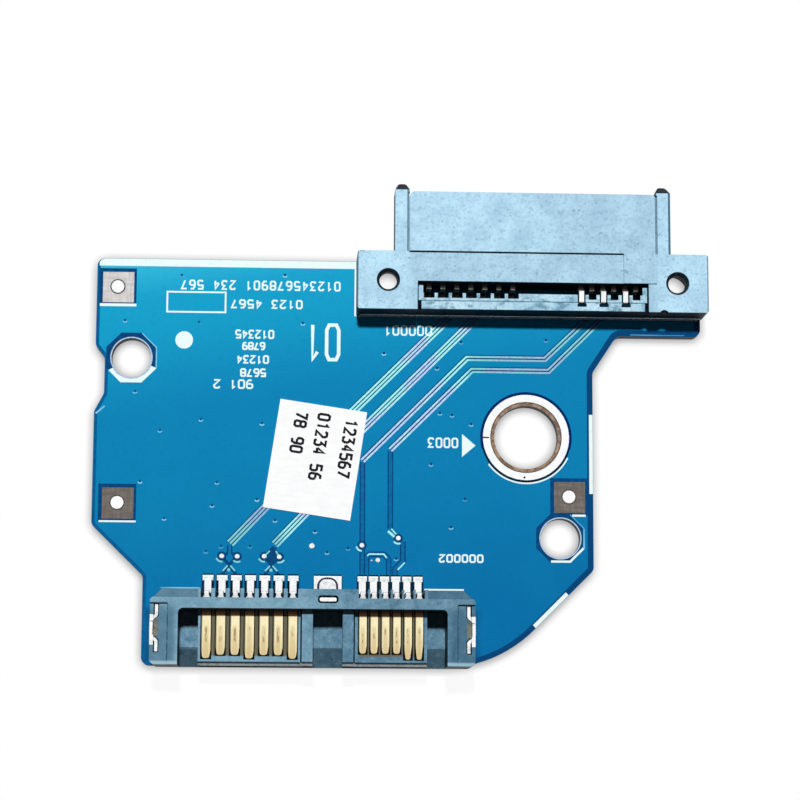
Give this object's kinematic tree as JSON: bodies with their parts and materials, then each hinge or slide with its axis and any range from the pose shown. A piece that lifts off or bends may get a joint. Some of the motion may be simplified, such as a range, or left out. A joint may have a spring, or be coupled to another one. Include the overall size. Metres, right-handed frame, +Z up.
{
  "type": "optical drive connector board",
  "caption": "Flat circuit board that links a slim optical drive to a computer, with a keyed plug on one edge, a flanged receptacle on the other, a screw hole and locating holes.",
  "frame": {"origin": "axis of the ringed screw hole, at the underside of the board", "axes": "+X along the board towards the receptacle's free end, +Y towards the receptacle's mating face, +Z up from the board to the connectors"},
  "size_m": [0.0554, 0.0439, 0.0057],
  "materials": {
    "board": "glossy solder mask",
    "tin": "tinned",
    "label": "matte",
    "plug_plastic": "moulded",
    "receptacle_plastic": "moulded",
    "hold_down": "tinned",
    "gold_contact": "gold plated",
    "spring_contact": "plated"
  },
  "bodies": {
    "root": {"circuit_board": "board", "fiducial_pads": "tin", "ground_ring": "tin", "paper_label": "label", "plug_center_tab": "hold_down", "plug_hold_down_left": "hold_down", "plug_hold_down_right": "hold_down", "plug_housing": "plug_plastic", "plug_power_contact_1": "gold_contact", "plug_power_contact_2": "gold_contact", "plug_power_contact_3": "gold_contact", "plug_power_contact_4": "gold_contact", "plug_power_contact_5": "gold_contact", "plug_power_contact_6": "gold_contact", "plug_signal_contact_1": "gold_contact", "plug_signal_contact_2": "gold_contact", "plug_signal_contact_3": "gold_contact", "plug_signal_contact_4": "gold_contact", "plug_signal_contact_5": "gold_contact", "plug_signal_contact_6": "gold_contact", "plug_signal_contact_7": "gold_contact", "plug_solder_pads": "tin", "receptacle_housing": "receptacle_plastic", "receptacle_power_contact_1": "spring_contact", "receptacle_power_contact_2": "spring_contact", "receptacle_power_contact_3": "spring_contact", "receptacle_power_contact_4": "spring_contact", "receptacle_power_contact_5": "spring_contact", "receptacle_power_contact_6": "spring_contact", "receptacle_signal_contact_1": "spring_contact", "receptacle_signal_contact_2": "spring_contact", "receptacle_signal_contact_3": "spring_contact", "receptacle_signal_contact_4": "spring_contact", "receptacle_signal_contact_5": "spring_contact", "receptacle_signal_contact_6": "spring_contact", "receptacle_signal_contact_7": "spring_contact", "receptacle_solder_pads": "tin", "receptacle_tail_comb": "receptacle_plastic"}
  },
  "joints": []
}
